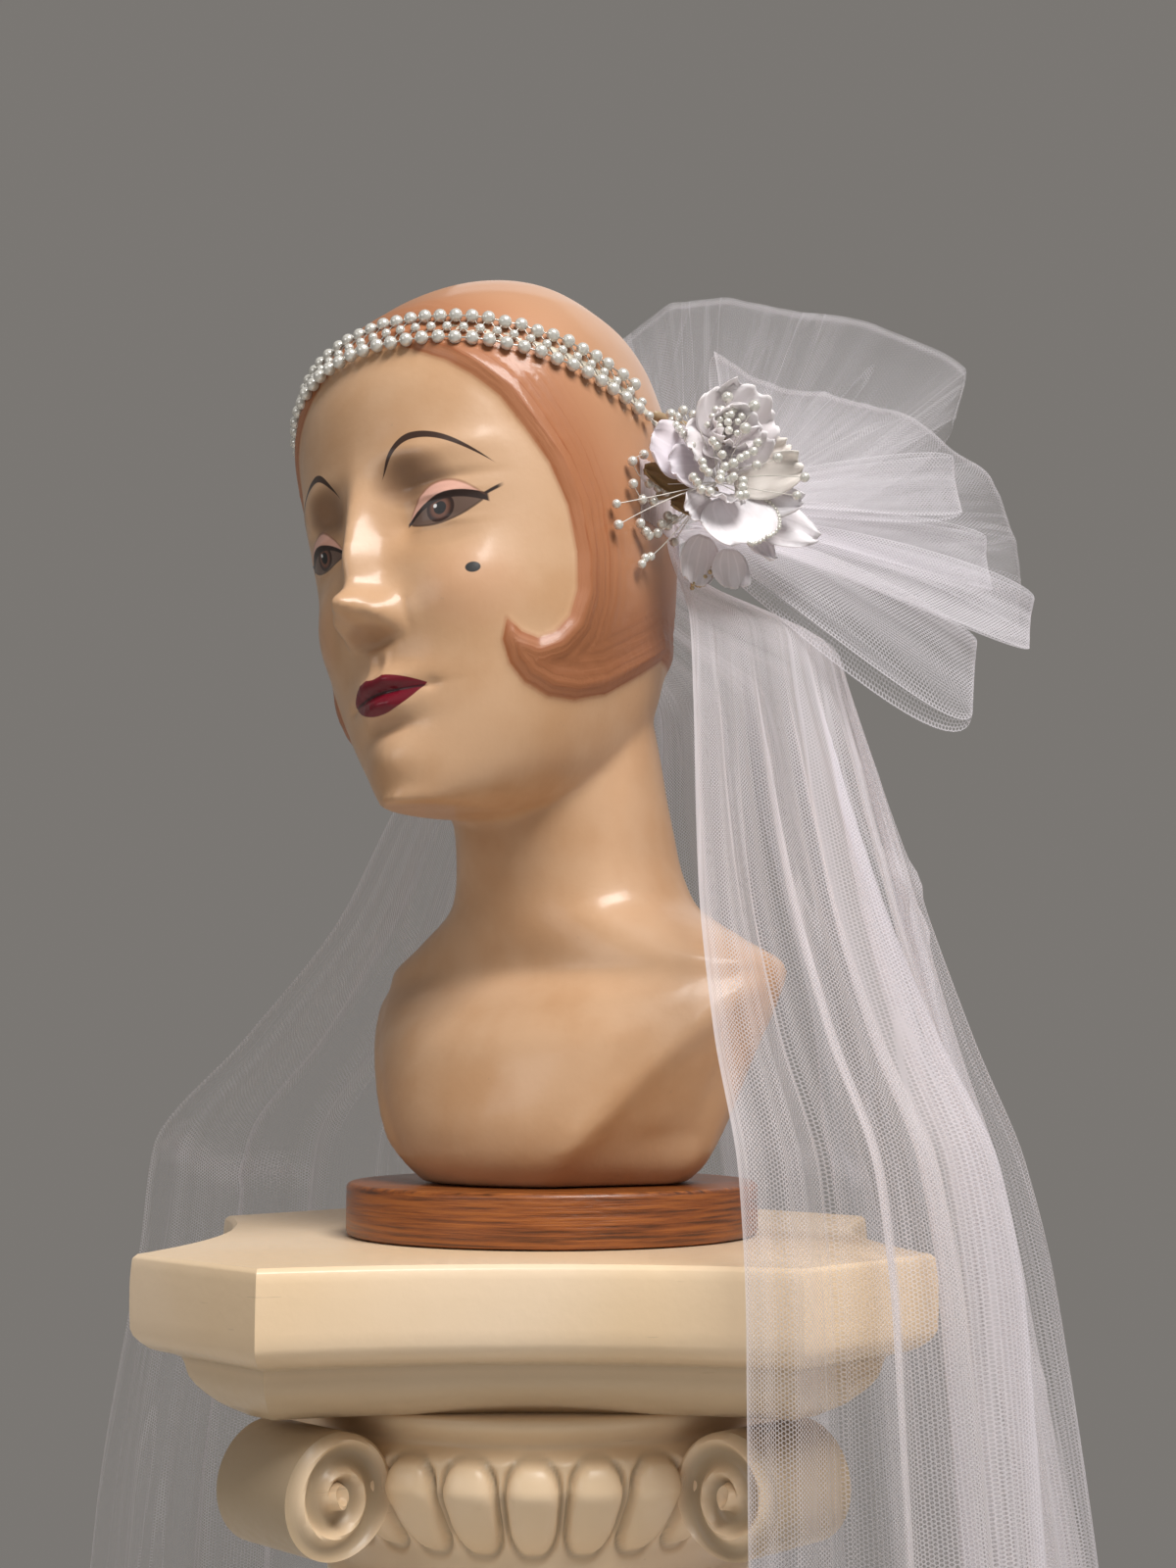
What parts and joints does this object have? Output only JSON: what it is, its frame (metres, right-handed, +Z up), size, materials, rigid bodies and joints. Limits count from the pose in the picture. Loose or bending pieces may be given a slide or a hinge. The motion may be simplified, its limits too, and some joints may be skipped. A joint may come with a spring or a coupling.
{
  "type": "bridal veil on a limbless display head and pedestal",
  "caption": "Long gathered tulle veil with puffed layers, silk flowers and a pearl headband, shown on a display head that stands on a column pedestal.",
  "frame": {"origin": "centre of the plinth's square underside, on the surface it stands on", "axes": "+Z up, -Y the pedestal's front, from which the picture is taken; the head faces between -X and -Y"},
  "size_m": [0.5096, 0.475, 1.1978],
  "materials": {
    "tulle": "fine white hexagonal net with a faint lilac cast, very sheer in one layer",
    "tulle_heading": "tightly gathered white net, close to opaque",
    "tulle_pouf": "crisp sheer white net in folded loops",
    "pearl": "silver-ivory imitation pearls with a soft lustre",
    "petal_silk": "thin pinkish white silk and organza petals",
    "glossy_skin": "glossy cream paint with a painted face and hair cap",
    "stained_wood": "reddish-brown stain with a brushed turning grain",
    "ivory_plaster": "satin ivory paint on cast plaster, lightly scuffed"
  },
  "bodies": {
    "root": {"veil": "tulle", "heading": "tulle_heading", "pouf_top": "tulle_pouf", "pouf_middle": "tulle_pouf", "pouf_loop_1": "tulle_pouf", "pouf_loop_2": "tulle_pouf", "pouf_loop_3": "tulle_pouf", "pouf_tail": "tulle_pouf", "pearl_band": "pearl", "flower_upper_stalk": "petal_silk", "flower_upper_petal_1": "petal_silk", "flower_upper_petal_2": "petal_silk", "flower_upper_petal_3": "petal_silk", "flower_upper_petal_4": "petal_silk", "flower_upper_petal_5": "petal_silk", "flower_lower_stalk": "petal_silk", "flower_lower_petal_1": "petal_silk", "flower_lower_petal_2": "petal_silk", "flower_lower_petal_3": "petal_silk", "flower_lower_petal_4": "petal_silk", "flower_lower_petal_5": "petal_silk", "display_head": "glossy_skin", "wood_foot": "stained_wood", "pedestal_abacus": "ivory_plaster", "pedestal_capital": "ivory_plaster", "pedestal_shaft": "ivory_plaster", "pedestal_plinth": "ivory_plaster"}
  },
  "joints": []
}
